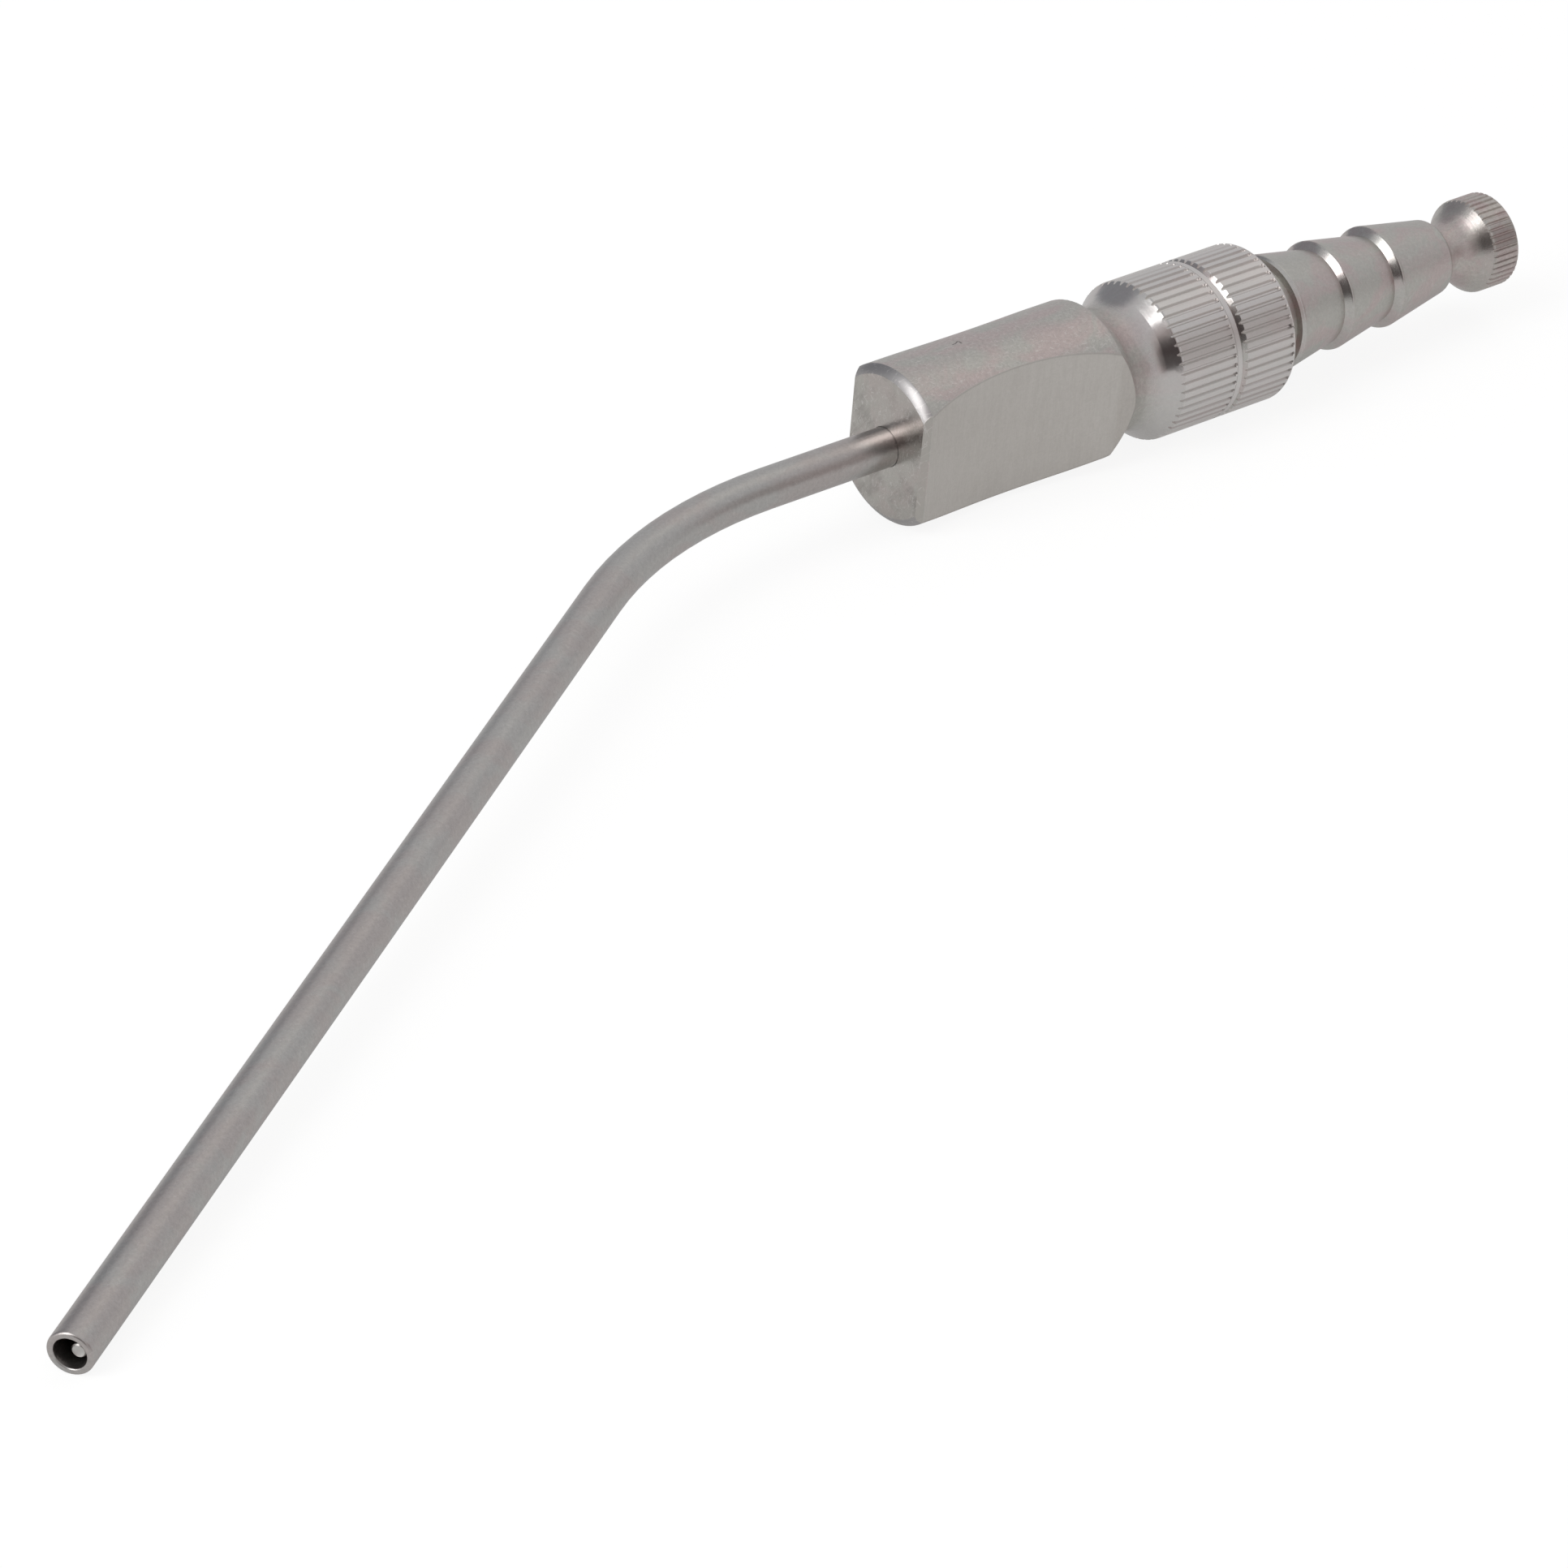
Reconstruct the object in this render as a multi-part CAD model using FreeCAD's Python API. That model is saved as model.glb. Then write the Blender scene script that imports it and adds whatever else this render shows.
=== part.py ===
import FreeCAD, Part
import math
import os

# Bent suction tube, 9 Fr, with its stylet in place. Millimetres.
# Each piece is built on the handle's own axis: X runs rearward along it, X = 0 is the
# handle's front face, the tube bends towards -Y and the thumb rest faces +Y.
# At the end all pieces are rolled about that axis until the tube's tip touches the
# table, as the real one lies, with Z = 0 at the table.

# Tube
TUBE_OD = 3.0
TUBE_BORE = 2.1
BEND_ANGLE = 32.9
BEND_RADIUS = 34.0
SHORT_STRAIGHT = 10.9
LEG_STRAIGHT = 88.2
TUBE_INSERT = 6.4
RIM_ROUND_OUTER = 0.2
RIM_ROUND_INNER = 0.12
SOLDER_GAP = 0.03

# Handle: barrel, neck, bell flare and first collar, all turned from one bar
BODY_R = 6.05
BARREL_LEN = 18.15
FRONT_EDGE_X = 0.55
FRONT_EDGE_R = 0.62
FRONT_EDGE_CROWN = 0.05
REAR_EDGE_ROUND = 0.3
SHOULDER_ANGLE = 42.0
SHOULDER_ROUND = 1.55
NECK_R = 4.65
FLARE_ROUND = 3.4
FLARE_ANGLE = 36.0
FLARE_CORNER_ROUND = 0.35
BELL_AND_COLLAR_LEN = 8.94
JOINT_V_DEPTH = 0.3
COLLAR_REAR_CHAMFER_X = 0.3
LUMEN_R = 1.2

# Finger rest and thumb rest: two round dishes milled across the barrel
DISH_R = 31.0
DISH_X = 9.1
DISH_FLOOR = 2.98
DISH_BEVEL_X = 0.65
DISH_BEVEL_Y = 0.46
VENT_R = 1.3
VENT_EDGE = 0.2

# Screw joint between handle and connector, thread drawn at its mean size
SPIGOT_R = 3.5
SPIGOT_LEN = 6.5
SCREW_GAP = 0.05
SOCKET_EXTRA = 0.4
SPIGOT_CHAMFER = 0.4

# Knurls: straight grooves with leaning walls and a narrow flat floor
COLLAR_TEETH = 52
GROOVE_DEPTH = 0.2
GROOVE_TOP = 0.36
GROOVE_FLOOR = 0.12
GROOVE_RUN_OUT = 0.1
RUN_OUT_OVERSHOOT = 1.2
COLLAR_1_PLAIN_BAND = 0.46
COLLAR_2_PLAIN_BAND = 0.16
KNOB_TEETH = 44
KNOB_GROOVE_DEPTH = 0.14
KNOB_GROOVE_TOP = 0.26
KNOB_GROOVE_FLOOR = 0.08

# Hose connector: second collar, relief and three barbs that taper to the end
COLLAR_2_FRONT_CHAMFER_X = 0.33
COLLAR_2_LEN = 5.06
COLLAR_2_REAR_ROUND = 0.2
RELIEF_R = 3.9
RELIEF_WALL_LEAN = 0.1
FIRST_BEVEL_X = 0.3
FIRST_BEVEL_FALL = 0.15
BARB_STEPS = (2.45, 5.1, 5.4)
BARB_1_R = 4.52
BARB_STEP_DOWN = 0.27
BARB_RAMP = 0.48
BARB_TAPER = 10.0
BARB_CREST_ROUND = 0.3
LAST_TAPER_LEN = 6.2
CONNECTOR_END_ROUND = 0.5
CONNECTOR_BORE_R = 1.9

# Stylet: knob, plug and wire
PLUG_SLACK = 0.2
PLUG_REST_GAP = 0.02
PLUG_LEN = 12.0
PLUG_CHAMFER = 0.3
KNOB_LEN = 6.15
KNOB_NECK_LEN = 1.0
KNOB_NECK_R = 2.2
KNOB_SEAT_R = 2.4
KNOB_FLARE_ROUND = 2.6
KNOB_FLARE_ANGLE = 40.0
KNOB_CORNER_ROUND = 0.5
KNOB_R = 3.65
KNOB_END_CHAMFER = 0.15
WIRE_R = 0.475
WIRE_BEND_LAG = 0.45
WIRE_RECESS = 0.3
WIRE_IN_PLUG = 8.0
WIRE_SOLDER_GAP = 0.02
WIRE_TIP_CHAMFER = 0.08

# Stations along the handle's axis, added up from the lengths
SHOULDER_TURN = math.radians(SHOULDER_ANGLE)
SHOULDER_ARC_X = SHOULDER_ROUND * math.sin(SHOULDER_TURN)
SHOULDER_ARC_R = NECK_R + SHOULDER_ROUND * (1 - math.cos(SHOULDER_TURN))
SHOULDER_FOOT_X = BARREL_LEN + (BODY_R - SHOULDER_ARC_R) / math.tan(SHOULDER_TURN)
NECK_X = SHOULDER_FOOT_X + SHOULDER_ARC_X
JOINT_X = NECK_X + BELL_AND_COLLAR_LEN
COLLAR_2_REAR_X = JOINT_X + COLLAR_2_LEN
BARB_XS = [COLLAR_2_REAR_X + sum(BARB_STEPS[:i + 1]) for i in range(len(BARB_STEPS))]
CONNECTOR_END_X = BARB_XS[-1] + LAST_TAPER_LEN
KNOB_NECK_X = CONNECTOR_END_X + KNOB_NECK_LEN
KNOB_END_X = CONNECTOR_END_X + KNOB_LEN

SPARE = 1.0
FULL_TURN = 360.0
X_AXIS = FreeCAD.Vector(1, 0, 0)
Z_AXIS = FreeCAD.Vector(0, 0, 1)
ORIGIN = FreeCAD.Vector(0, 0, 0)


def vec(x, y, z=0.0):
    return FreeCAD.Vector(x, y, z)


def rounded_corner(before, corner, after, radius):
    """Start, middle and end of the arc that rounds a corner between two lines."""
    to_before = (before - corner).normalize()
    to_after = (after - corner).normalize()
    half = to_before.getAngle(to_after) / 2.0
    reach = radius / math.tan(half)
    inward = (to_before + to_after).normalize()
    middle = corner + inward * (radius / math.sin(half) - radius)
    return corner + to_before * reach, middle, corner + to_after * reach


def outline(points):
    """Closed wire. (x, y) is a corner, (x, y, r) a rounded one,
    ("arc", (x, y), (x, y)) an arc through a middle point to an end."""
    corners = [vec(*(p[2] if p[0] == "arc" else p[:2])) for p in points]
    edges = []
    at = corners[0]
    for i, p in enumerate(points[1:], start=1):
        if p[0] == "arc":
            edges.append(Part.Arc(at, vec(*p[1]), corners[i]).toShape())
            at = corners[i]
        elif len(p) == 3:
            start, middle, end = rounded_corner(
                corners[i - 1], corners[i], corners[(i + 1) % len(corners)], p[2])
            edges.append(Part.makeLine(at, start))
            edges.append(Part.Arc(start, middle, end).toShape())
            at = end
        else:
            edges.append(Part.makeLine(at, corners[i]))
            at = corners[i]
    edges.append(Part.makeLine(at, corners[0]))
    return Part.Wire(edges)


def turned(points):
    return Part.Face(outline(points)).revolve(ORIGIN, X_AXIS, FULL_TURN)


def rod(x_start, x_end, radius):
    return Part.makeCylinder(radius, x_end - x_start, vec(x_start, 0), X_AXIS)


def neck_arc(neck_x, neck_r, radius, turn):
    """Point on a concave arc whose lowest point is the neck, turned from that point."""
    return (neck_x + radius * math.sin(turn), neck_r + radius * (1 - math.cos(turn)))


def neck_and_flare(start, neck, flare_round, angle, edge_r, corner_round):
    """Concave arc down from start to the neck, a wider one up from it, then a cone
    that ends in a rounded corner at edge_r."""
    run = neck[0] - start[0]
    fall = start[1] - neck[1]
    lead_round = (run ** 2 + fall ** 2) / (2 * fall)
    lead_turn = math.asin(run / lead_round)
    slope = math.radians(angle)
    cone_x, cone_r = neck_arc(*neck, flare_round, slope)
    corner_x = cone_x + (edge_r - cone_r) / math.tan(slope)
    points = [start,
              ("arc", neck_arc(*neck, lead_round, -lead_turn / 2), neck),
              ("arc", neck_arc(*neck, flare_round, slope / 2), (cone_x, cone_r)),
              (corner_x, edge_r, corner_round)]
    return points, corner_x


def groove_face(x, floor_r, depth, top, floor):
    """Section of a groove at x: flat floor, sides opening past the surface."""
    over = depth
    wide = top + (top - floor) * over / depth
    high = floor_r + depth + over
    corners = [vec(x, -floor / 2, floor_r), vec(x, floor / 2, floor_r),
               vec(x, wide / 2, high), vec(x, -wide / 2, high)]
    return Part.Face(Part.makePolygon(corners + corners[:1]))


def knurl(x_start, x_end, radius, teeth, depth, top, floor, run_out):
    """Cutters for a straight knurl. With a run-out the grooves rise to a point."""
    section = groove_face(x_start, radius - depth, depth, top, floor)
    level = x_end - run_out - x_start
    groove = section.extrude(vec(level, 0))
    if run_out:
        section.translate(vec(level, 0))
        rise = depth * RUN_OUT_OVERSHOOT
        groove = groove.fuse(section.extrude(vec(run_out, 0, rise)))
    grooves = []
    for i in range(teeth):
        cutter = groove.copy()
        cutter.rotate(ORIGIN, X_AXIS, FULL_TURN * (i + 0.5) / teeth)
        grooves.append(cutter)
    return Part.makeCompound(grooves)


def bent_rod(radius, x_rear, bend_shift, end_trim):
    """Rod along the tube's centre line from x_rear to the tip end, less end_trim."""
    angle = math.radians(BEND_ANGLE)
    bend_x = bend_shift - SHORT_STRAIGHT
    centre = vec(bend_x, -BEND_RADIUS)
    leg_start = centre + vec(-math.sin(angle), math.cos(angle)) * BEND_RADIUS
    along_leg = vec(-math.cos(angle), -math.sin(angle))
    leg_len = LEG_STRAIGHT - end_trim
    section = Part.Face(Part.Wire([Part.makeCircle(radius, vec(bend_x, 0), X_AXIS)]))
    bend = section.revolve(centre, Z_AXIS, BEND_ANGLE)
    leg = Part.makeCylinder(radius, leg_len, leg_start, along_leg)
    rod_shape = rod(bend_x, x_rear, radius).fuse([bend, leg])
    return rod_shape, leg_start + along_leg * leg_len


def end_edges(shape, end, radius):
    """The round edges of this radius at a rod's far end."""
    return [e for e in shape.Edges
            if e.Length > radius and (e.CenterOfMass - end).Length < radius / 2
            and abs(e.Length - 2 * math.pi * radius) < radius / 2]


def suction_tube():
    outer, tip = bent_rod(TUBE_OD / 2, TUBE_INSERT, 0, 0)
    outer = outer.makeFillet(RIM_ROUND_OUTER, end_edges(outer, tip, TUBE_OD / 2))
    bore, _ = bent_rod(TUBE_BORE / 2, TUBE_INSERT + SPARE, 0, -SPARE)
    tube = outer.cut(bore)
    return tube.makeFillet(RIM_ROUND_INNER, end_edges(tube, tip, TUBE_BORE / 2))


def dish_cutter(side):
    """Round milling cut across the barrel with its narrow bevel at the front face."""
    floor_y = DISH_FLOOR + DISH_R
    dish = Part.makeCylinder(DISH_R, 4 * BODY_R, vec(DISH_X, side * floor_y, -2 * BODY_R),
                             Z_AXIS)
    front_y = floor_y - math.sqrt(DISH_R ** 2 - DISH_X ** 2)
    bevel_end_y = floor_y - math.sqrt(DISH_R ** 2 - (DISH_X - DISH_BEVEL_X) ** 2)
    bevel_y = front_y - DISH_BEVEL_Y
    slope = (bevel_end_y - bevel_y) / DISH_BEVEL_X
    reach = 3 * DISH_BEVEL_X
    corners = [vec(-reach, side * (bevel_y - slope * reach), -2 * BODY_R),
               vec(reach, side * (bevel_y + slope * reach), -2 * BODY_R),
               vec(reach, side * 2 * BODY_R, -2 * BODY_R),
               vec(-reach, side * 2 * BODY_R, -2 * BODY_R)]
    bevel = Part.Face(Part.makePolygon(corners + corners[:1])).extrude(Z_AXIS * 4 * BODY_R)
    return dish.fuse(bevel)


def handle():
    flare, collar_x = neck_and_flare((SHOULDER_FOOT_X, SHOULDER_ARC_R), (NECK_X, NECK_R),
                                     FLARE_ROUND, FLARE_ANGLE, BODY_R, FLARE_CORNER_ROUND)
    edge_mid = (FRONT_EDGE_X / 2 - FRONT_EDGE_CROWN,
                BODY_R - FRONT_EDGE_R / 2 + FRONT_EDGE_CROWN)
    body = turned([(0, 0),
                   (0, BODY_R - FRONT_EDGE_R),
                   ("arc", edge_mid, (FRONT_EDGE_X, BODY_R)),
                   (BARREL_LEN, BODY_R, REAR_EDGE_ROUND)]
                  + flare
                  + [(JOINT_X - COLLAR_REAR_CHAMFER_X, BODY_R),
                     (JOINT_X, BODY_R - JOINT_V_DEPTH),
                     (JOINT_X, 0)])
    socket_x = JOINT_X - SPIGOT_LEN - SOCKET_EXTRA
    vent = Part.makeCylinder(VENT_R, 2 * BODY_R, vec(DISH_X, 0), vec(0, 1))
    vent_edge = Part.makeCone(VENT_R, VENT_R + 2 * VENT_EDGE, 2 * VENT_EDGE,
                              vec(DISH_X, DISH_FLOOR - VENT_EDGE), vec(0, 1))
    groove_end = JOINT_X - COLLAR_REAR_CHAMFER_X - COLLAR_1_PLAIN_BAND
    cuts = [dish_cutter(1), dish_cutter(-1),
            rod(-SPARE, TUBE_INSERT, TUBE_OD / 2 + SOLDER_GAP),
            rod(0, JOINT_X, LUMEN_R),
            rod(socket_x, JOINT_X + SPARE, SPIGOT_R + SCREW_GAP),
            vent, vent_edge,
            knurl(collar_x - 2 * SPARE, groove_end, BODY_R, COLLAR_TEETH, GROOVE_DEPTH,
                  GROOVE_TOP, GROOVE_FLOOR, GROOVE_RUN_OUT)]
    for cutter in cuts:
        body = body.cut(cutter)
    return body


def barb_points():
    """Steep wall and bevel of the first barb, then for each barb a long taper down, and
    a short ramp up to the rounded crest of the next."""
    fall = math.tan(math.radians(BARB_TAPER))
    bevel_x = BARB_XS[0] - FIRST_BEVEL_X
    points = [(bevel_x - RELIEF_WALL_LEAN, RELIEF_R),
              (bevel_x, BARB_1_R - FIRST_BEVEL_FALL)]
    crest_r = BARB_1_R
    crest_x = BARB_XS[0]
    points.append((crest_x, crest_r, BARB_CREST_ROUND))
    for next_x in BARB_XS[1:]:
        root_x = next_x - BARB_RAMP
        points.append((root_x, crest_r - fall * (root_x - crest_x)))
        crest_x = next_x
        crest_r = crest_r - BARB_STEP_DOWN
        points.append((crest_x, crest_r, BARB_CREST_ROUND))
    end_r = crest_r - fall * (CONNECTOR_END_X - crest_x)
    points.append((CONNECTOR_END_X, end_r, CONNECTOR_END_ROUND))
    return points


def hose_connector():
    front_x = JOINT_X + COLLAR_2_FRONT_CHAMFER_X
    body = turned([(JOINT_X, 0),
                   (JOINT_X, BODY_R - JOINT_V_DEPTH),
                   (front_x, BODY_R),
                   (COLLAR_2_REAR_X, BODY_R, COLLAR_2_REAR_ROUND),
                   (COLLAR_2_REAR_X, RELIEF_R)]
                  + barb_points()
                  + [(CONNECTOR_END_X, 0)])
    spigot_x = JOINT_X - SPIGOT_LEN
    spigot = turned([(spigot_x, 0),
                     (spigot_x, SPIGOT_R - SPIGOT_CHAMFER),
                     (spigot_x + SPIGOT_CHAMFER, SPIGOT_R),
                     (JOINT_X + SPARE, SPIGOT_R),
                     (JOINT_X + SPARE, 0)])
    body = body.fuse(spigot)
    body = body.cut(rod(spigot_x - SPARE, CONNECTOR_END_X + SPARE, CONNECTOR_BORE_R))
    return body.cut(knurl(JOINT_X, COLLAR_2_REAR_X - COLLAR_2_PLAIN_BAND, BODY_R,
                          COLLAR_TEETH, GROOVE_DEPTH, GROOVE_TOP, GROOVE_FLOOR,
                          GROOVE_RUN_OUT))


def stylet_knob():
    plug_r = CONNECTOR_BORE_R - PLUG_SLACK
    plug_x = CONNECTOR_END_X - PLUG_LEN
    flare, corner_x = neck_and_flare((CONNECTOR_END_X, KNOB_SEAT_R),
                                     (KNOB_NECK_X, KNOB_NECK_R), KNOB_FLARE_ROUND,
                                     KNOB_FLARE_ANGLE, KNOB_R, KNOB_CORNER_ROUND)
    knob = turned([(plug_x, 0),
                   (plug_x, plug_r - PLUG_CHAMFER),
                   (plug_x + PLUG_CHAMFER, plug_r),
                   (CONNECTOR_END_X, plug_r)]
                  + flare
                  + [(KNOB_END_X - KNOB_END_CHAMFER, KNOB_R),
                     (KNOB_END_X, KNOB_R - KNOB_END_CHAMFER),
                     (KNOB_END_X, 0)])
    knob = knob.cut(knurl(corner_x - 2 * SPARE, KNOB_END_X + SPARE, KNOB_R, KNOB_TEETH,
                          KNOB_GROOVE_DEPTH, KNOB_GROOVE_TOP, KNOB_GROOVE_FLOOR, 0))
    return knob.cut(rod(plug_x - SPARE, plug_x + WIRE_IN_PLUG + WIRE_SOLDER_GAP,
                        WIRE_R + WIRE_SOLDER_GAP))


def stylet_wire():
    rear_x = CONNECTOR_END_X - PLUG_LEN + WIRE_IN_PLUG
    wire, tip = bent_rod(WIRE_R, rear_x, WIRE_BEND_LAG, WIRE_RECESS)
    return wire.makeChamfer(WIRE_TIP_CHAMFER, end_edges(wire, tip, WIRE_R))


def roll_to_table():
    """Angle about the handle's axis at which body and tube tip touch one table."""
    angle = math.radians(BEND_ANGLE)
    leg = LEG_STRAIGHT - RIM_ROUND_OUTER
    lever = BEND_RADIUS * (1 - math.cos(angle)) + leg * math.sin(angle)
    tube_r = TUBE_OD / 2
    a = lever ** 2 + (tube_r * math.sin(angle)) ** 2
    root = math.sqrt((BODY_R * lever) ** 2 - a * (BODY_R ** 2 - tube_r ** 2))
    return math.degrees(math.asin((BODY_R * lever - root) / a))


def lay_down(pieces, stylet):
    """Roll every piece onto the table, drop the stylet into the connector's bore and
    put the origin under the middle of the whole part."""
    for name, shape in pieces.items():
        shape.rotate(ORIGIN, X_AXIS, roll_to_table())
        drop = PLUG_SLACK - PLUG_REST_GAP if name in stylet else 0.0
        shape.translate(vec(0, 0, BODY_R - drop))
    box = Part.makeCompound(list(pieces.values())).optimalBoundingBox()
    middle = vec((box.XMin + box.XMax) / 2, (box.YMin + box.YMax) / 2, box.ZMin)
    for shape in pieces.values():
        shape.translate(middle * -1)


def main():
    pieces = {"suction_tube": suction_tube(),
              "handle": handle(),
              "hose_connector": hose_connector(),
              "stylet_knob": stylet_knob(),
              "stylet_wire": stylet_wire()}
    lay_down(pieces, ("stylet_knob", "stylet_wire"))
    os.makedirs("parts", exist_ok=True)
    for name, shape in pieces.items():
        solid = shape.Solids[0]
        solid.exportStep("parts/" + name + ".step")
        print(name, "valid", solid.isValid(), "solids", len(shape.Solids),
              "volume %.1f" % solid.Volume)


main()
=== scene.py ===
# %% [markdown]
# # A bent suction tube in satin steel
# The object is a surgeon's suction tube, lying on a table. A thin bent tube is soldered
# into a handle with a dished finger rest. Behind it come two knurled collars, a barbed
# hose connector and the knob of the cleaning wire. Everything is stainless steel, so the
# whole lesson is about one metal with many finishes: blasted, ground, turned and bright.
# The frame already holds every solid at its real size, so the shapes stay as they are and
# the work goes into the finishes, the studio and the camera.

# %% Load the frame
import bpy
import math
from mathutils import Euler, Matrix, Vector


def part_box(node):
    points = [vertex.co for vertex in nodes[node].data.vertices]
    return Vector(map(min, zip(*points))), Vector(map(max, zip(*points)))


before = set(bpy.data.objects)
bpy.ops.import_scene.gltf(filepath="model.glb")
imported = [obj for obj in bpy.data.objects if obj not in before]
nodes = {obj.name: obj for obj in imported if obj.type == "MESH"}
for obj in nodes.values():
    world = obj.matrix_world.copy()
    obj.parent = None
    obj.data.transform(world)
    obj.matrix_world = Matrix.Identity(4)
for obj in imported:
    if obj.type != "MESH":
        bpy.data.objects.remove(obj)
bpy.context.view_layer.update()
print("nodes:", sorted(nodes))

# %% [markdown]
# ## Where the handle lies
# Nearly every finish follows the handle's own axis: turning marks run round it, polish
# sits on its ridges. The axis could be typed in as numbers, but the frame knows it. The
# handle's box starts at its front face, and its middle line is the axis. The handle lies
# rolled by a few degrees, because the tube's tip rests on the table too.

# %% Measure the handle's axis
MM = 0.001
HANDLE_ROLL = 4.9

low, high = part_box("handle")
axis_point = (low.x, (low.y + high.y) / 2, (low.z + high.z) / 2)
handle_length = (high.x - low.x) / MM
body_radius = (high.z - low.z) / 2 / MM
print("axis starts at", [round(v / MM, 2) for v in axis_point], "radius", round(body_radius, 2))

# %% [markdown]
# ## A short way to write nodes
# A material is a list of small steps, each fed by the ones before it. The steps could be
# clicked together in the editor. In a script, one helper that makes a node, sets its
# values and links its inputs keeps each step on one line.


# %% Node helpers
class Tree:
    """Makes nodes in one tree. A value is a number, a colour, or another node's output."""

    def __init__(self, tree):
        self.tree = tree

    def node(self, kind, inputs=None, **settings):
        made = self.tree.nodes.new("ShaderNode" + kind)
        for key, value in settings.items():
            setattr(made, key, value)
        for key, value in (inputs or {}).items():
            self.feed(made.inputs[key], value)
        return made

    def feed(self, socket, value):
        if isinstance(value, bpy.types.NodeSocket):
            self.tree.links.new(value, socket)
        else:
            socket.default_value = value

    def math(self, operation, a, b=0.0, clamp=False):
        made = self.node("Math", {0: a, 1: b}, operation=operation, use_clamp=clamp)
        return made.outputs[0]

    def times(self, a, b):
        return self.math("MULTIPLY", a, b)

    def vector(self, operation, a, b=(0, 0, 0)):
        return self.node("VectorMath", {0: a, 1: b}, operation=operation).outputs[0]

    def stretch(self, point, factors):
        return self.vector("MULTIPLY", point, factors)

    def scaled(self, vector, factor):
        made = self.node("VectorMath", {0: vector, "Scale": factor}, operation="SCALE")
        return made.outputs[0]

    def step(self, value, start, end):
        """0 before start, 1 after end, smooth between them."""
        made = self.node("MapRange", {"Value": value, "From Min": start, "From Max": end},
                         interpolation_type="SMOOTHSTEP")
        return made.outputs["Result"]

    def fall(self, value, start, end):
        """1 before start, 0 after end."""
        return self.math("SUBTRACT", 1.0, self.step(value, start, end))

    def band(self, value, start, end, soft):
        """1 between start and end, fading to 0 over soft on both sides."""
        rise = self.step(value, start - soft, start)
        fall = self.step(value, end, end + soft)
        return self.math("SUBTRACT", rise, fall, clamp=True)

    def blend(self, amount, a, b):
        """Colour a where amount is 0, colour b where it is 1."""
        made = self.node("Mix", {0: amount, 6: a, 7: b}, data_type="RGBA")
        return made.outputs[2]

    def paint(self, color, mask, share, coat):
        """Colour with a coat laid on it, which covers a share of it where mask is 1."""
        return self.blend(self.times(mask, share), color, coat)

    def between(self, amount, a, b):
        """Number a where amount is 0, number b where it is 1."""
        return self.node("Mix", {0: amount, 2: a, 3: b}, data_type="FLOAT").outputs[0]

    def noise(self, point, scale, detail=2.0, roughness=0.5, distortion=0.0):
        made = self.node("TexNoise", {"Vector": point, "Scale": scale, "Detail": detail,
                                      "Roughness": roughness, "Distortion": distortion})
        return made.outputs["Fac"]


def new_group(name, inputs, outputs):
    """An empty node group with named sockets, its Tree, and its input and output nodes."""
    group = bpy.data.node_groups.new(name, "ShaderNodeTree")
    for socket_name, kind, default in inputs:
        socket = group.interface.new_socket(socket_name, in_out="INPUT", socket_type=kind)
        if default is not None:
            socket.default_value = default
    for socket_name, kind in outputs:
        group.interface.new_socket(socket_name, in_out="OUTPUT", socket_type=kind)
    taken = group.nodes.new("NodeGroupInput").outputs
    given = group.nodes.new("NodeGroupOutput").inputs
    return group, Tree(group), taken, given


def use_group(tree, group, inputs=None):
    made = tree.node("Group", node_tree=group)
    for key, value in (inputs or {}).items():
        tree.feed(made.inputs[key], value)
    return made.outputs


FLOAT, COLOR, VECTOR = "NodeSocketFloat", "NodeSocketColor", "NodeSocketVector"

# %% [markdown]
# ## Group: place on the handle
# A lathe operator thinks in two numbers: how far along the bar, and how far from its
# middle. This group turns any point into those two, in millimetres, so that a finish can
# say "the first half millimetre is polished". It undoes the handle's roll, so that the
# dished faces lie square to the Y axis again.


# %% Build the place group
def place_group():
    group, tree, _, given = new_group(
        "Place on the handle", [],
        [("Point", VECTOR), ("Along", FLOAT), ("Radius", FLOAT), ("Turn", FLOAT)])
    point = tree.node("TexCoord").outputs["Object"]
    centred = tree.vector("SUBTRACT", point, axis_point)
    in_mm = tree.vector("MULTIPLY", centred, (1 / MM, 1 / MM, 1 / MM))
    level = tree.node("VectorRotate", {"Vector": in_mm, "Angle": -math.radians(HANDLE_ROLL)},
                      rotation_type="X_AXIS").outputs[0]
    parts = tree.node("SeparateXYZ", {0: level}).outputs
    across = tree.times(parts[1], parts[1])
    up = tree.times(parts[2], parts[2])
    radius = tree.math("SQRT", tree.math("ADD", across, up))
    tree.feed(given["Point"], level)
    tree.feed(given["Along"], parts[0])
    tree.feed(given["Radius"], radius)
    tree.feed(given["Turn"], tree.math("ARCTAN2", parts[2], parts[1]))
    return group


PLACE = place_group()
print("group:", PLACE.name)

# %% [markdown]
# ## Group: mottled steel
# Satin stainless is never one grey. Handling and passivation leave clouds a few
# millimetres wide, some a little pink, some a little green, and a fine speckle over them.
# Two noises do this: a slow one, stretched along the bar, picks between the two tints, and
# a fast one makes the speckle and the grain that the materials use for their bump.


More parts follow.
